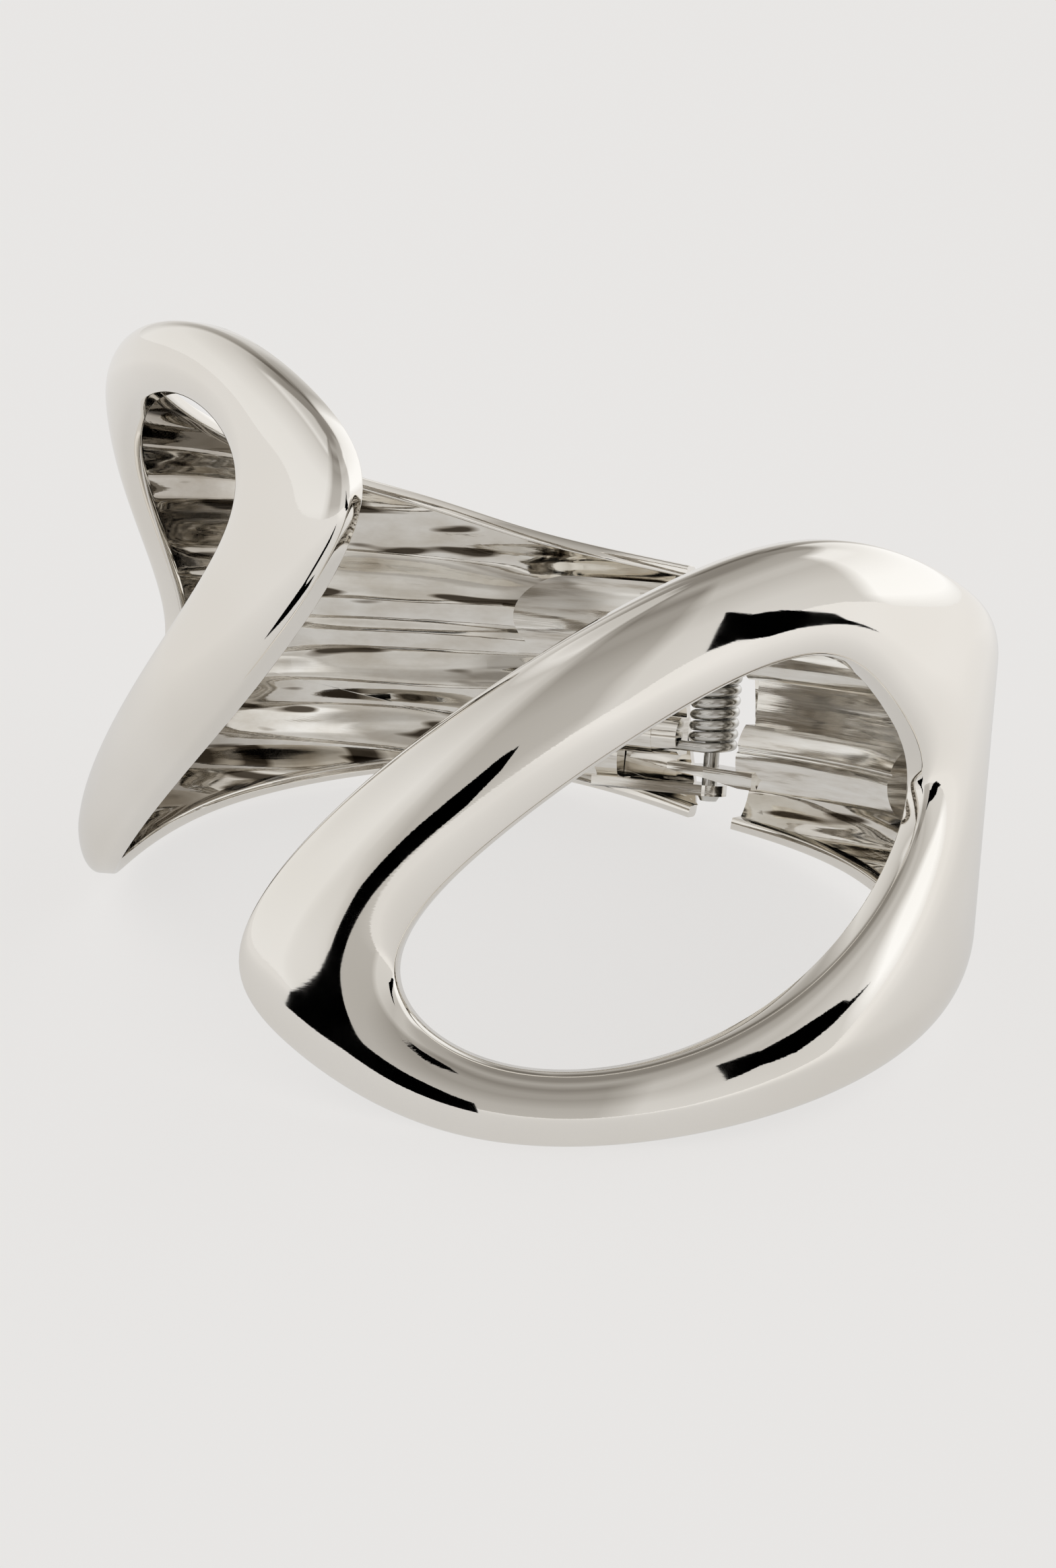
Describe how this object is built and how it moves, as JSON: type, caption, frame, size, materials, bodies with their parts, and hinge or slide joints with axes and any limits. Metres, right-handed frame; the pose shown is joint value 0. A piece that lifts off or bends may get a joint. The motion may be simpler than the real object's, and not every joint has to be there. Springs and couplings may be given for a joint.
{
  "type": "hinged cuff bracelet",
  "caption": "Hinged metal cuff bracelet with open teardrop loops that pass each other at the front and a sprung pin hinge at the back.",
  "frame": {"origin": "centre of the wrist opening at the hinge band's mid height, on the axis about which the arms match when turned over", "axes": "+Z along the wrist and the hinge pin, +Y from the wrist opening to the hinge, +X to the right arm"},
  "size_m": [0.0682, 0.0687, 0.053],
  "materials": {
    "plated_casting": "polished, plated",
    "hinge_plate": "plated over brushed metal",
    "spring_steel": "bright drawn wire"
  },
  "bodies": {
    "right_half": {"right_arm": "plated_casting", "hinge_bracket": "hinge_plate"},
    "left_half": {"left_arm": "plated_casting", "hinge_leaf": "hinge_plate", "hinge_pin": "spring_steel", "torsion_spring": "spring_steel"}
  },
  "joints": [
    {"name": "cuff_hinge", "type": "hinge", "parent": "right_half", "child": "left_half", "pos_m": [0, 0.0258, 0], "axis": [0, 0, -1], "range_deg": [0, 50], "stiffness_Nm_per_rad": 0.057, "springref_deg": -60.16, "deforming": ["torsion_spring"]}
  ]
}
